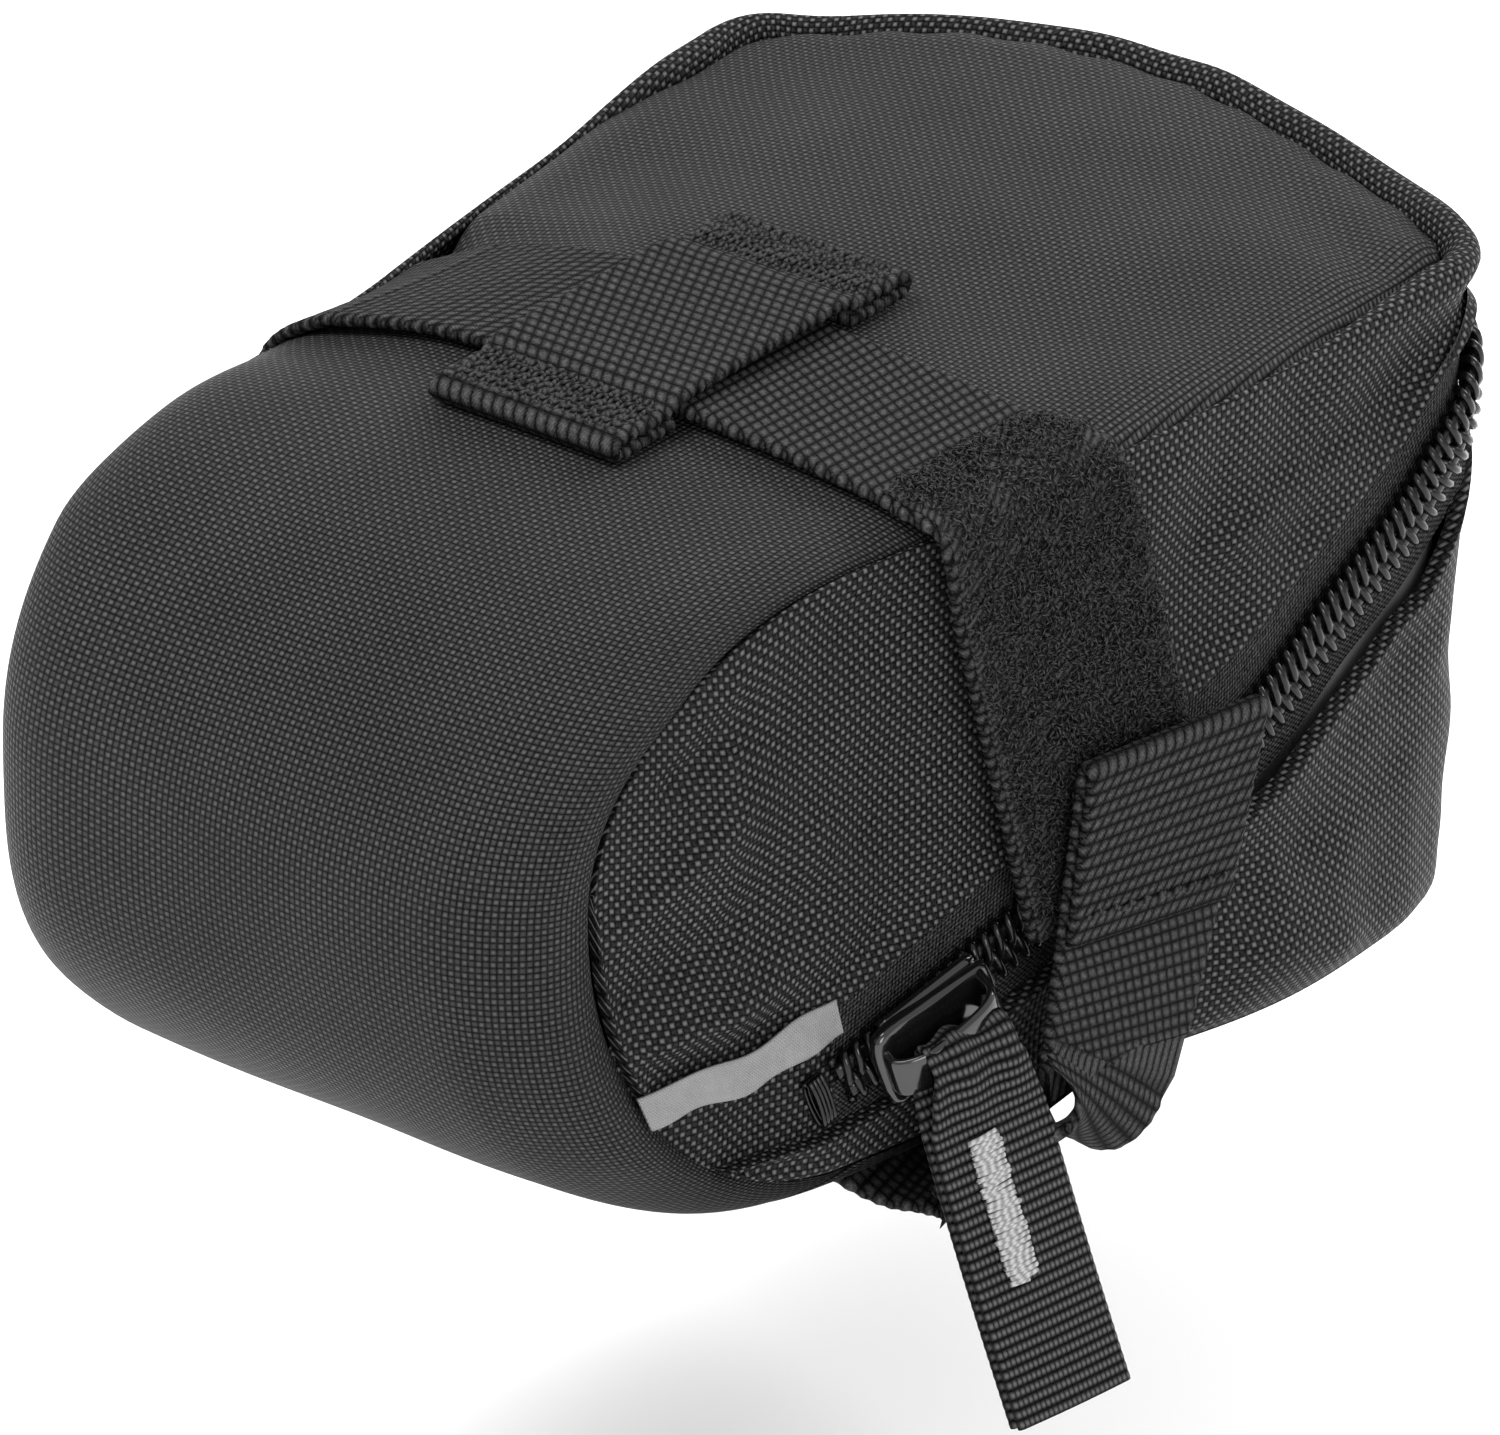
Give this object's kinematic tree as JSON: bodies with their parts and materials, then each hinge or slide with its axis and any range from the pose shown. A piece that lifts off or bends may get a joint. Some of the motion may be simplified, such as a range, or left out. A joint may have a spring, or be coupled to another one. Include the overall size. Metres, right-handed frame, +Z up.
{
  "type": "saddle bag",
  "caption": "Small zipped saddle bag for a bicycle, with a rounded nose, a wide tail and a hook-and-loop strap that goes round it under a keeper.",
  "frame": {"origin": "on the top panel under the middle of the keeper, where the strap takes the saddle rails", "axes": "-Y towards the nose, +Y towards the tail, +X towards the bag's left, the side with the slider, +Z up"},
  "size_m": [0.121, 0.1645, 0.1061],
  "materials": {
    "outer_fabric": "plain-weave coated polyester, satin highlights on the yarns",
    "zip_tape": "twill polyester tape",
    "zip_coil": "glossy black nylon coil",
    "slider": "gloss black enamel on cast zinc",
    "label": "light grey woven satin, blank",
    "lining": "smooth coated nylon, grey",
    "binding": "narrow woven binding tape",
    "webbing": "woven polyester webbing, matte",
    "black_thread": "bonded sewing thread",
    "light_thread": "light bonded thread, zigzag bartack",
    "pull_tape": "ribbed grosgrain tape",
    "loop_pile": "brushed loop pile",
    "hook_pile": "moulded hook tape"
  },
  "bodies": {
    "bag": {"centre_panel": "outer_fabric", "lower_gusset": "outer_fabric", "upper_gusset_left": "outer_fabric", "upper_gusset_right": "outer_fabric", "zip_end_tabs": "outer_fabric", "zip_tape_lower": "zip_tape", "zip_tape_front": "zip_tape", "zip_coil_lower": "zip_coil", "zip_coil_front": "zip_coil", "zip_end_stops": "zip_coil", "side_label": "label", "body_lining": "lining", "base_seam_binding": "binding", "keeper_loop": "webbing", "keeper_stitching": "black_thread", "strap_webbing": "webbing"},
    "lid": {"lid_panel": "outer_fabric", "lid_gusset": "outer_fabric", "zip_tape_lid": "zip_tape", "zip_coil_lid": "zip_coil", "lid_lining": "lining", "lid_seam_binding": "binding"},
    "slider": {"slider_body": "slider", "slider_bridge": "slider"},
    "pull": {"pull_tape": "pull_tape", "pull_bartack": "light_thread"},
    "loop_end": {"strap_loop_end": "webbing", "loop_tape": "loop_pile"},
    "hook_end": {"strap_hook_end": "webbing", "hook_tape": "hook_pile", "hook_end_stitching": "black_thread"}
  },
  "joints": [
    {"name": "slider_travel", "type": "slide", "parent": "bag", "child": "slider", "axis": [0.1549, 0.9109, 0.3823], "range_m": [-0.004, 0.002]},
    {"name": "pull_swing", "type": "hinge", "parent": "slider", "child": "pull", "pos_m": [0.05021, -0.01241, -0.06083], "axis": [-0.1549, -0.9109, -0.3823], "range_deg": [0, 120]},
    {"name": "lid_open", "type": "hinge", "parent": "bag", "child": "lid", "pos_m": [0, 0.03, 0.0016], "axis": [1, 0, 0], "range_deg": [0, 35]},
    {"name": "strap_peel", "type": "hinge", "parent": "bag", "child": "hook_end", "pos_m": [0.05437, 0.013, -0.0785], "axis": [0.1676, 0.9859, 0], "range_deg": [0, 110]},
    {"name": "loop_end_lift", "type": "hinge", "parent": "bag", "child": "loop_end", "pos_m": [0.04728, 0, -0.003], "axis": [-0.1676, -0.9859, 0], "range_deg": [0, 33]}
  ],
  "couplings": [
    {"joint": "loop_end_lift", "follows": "strap_peel", "ratio": 0.3}
  ]
}
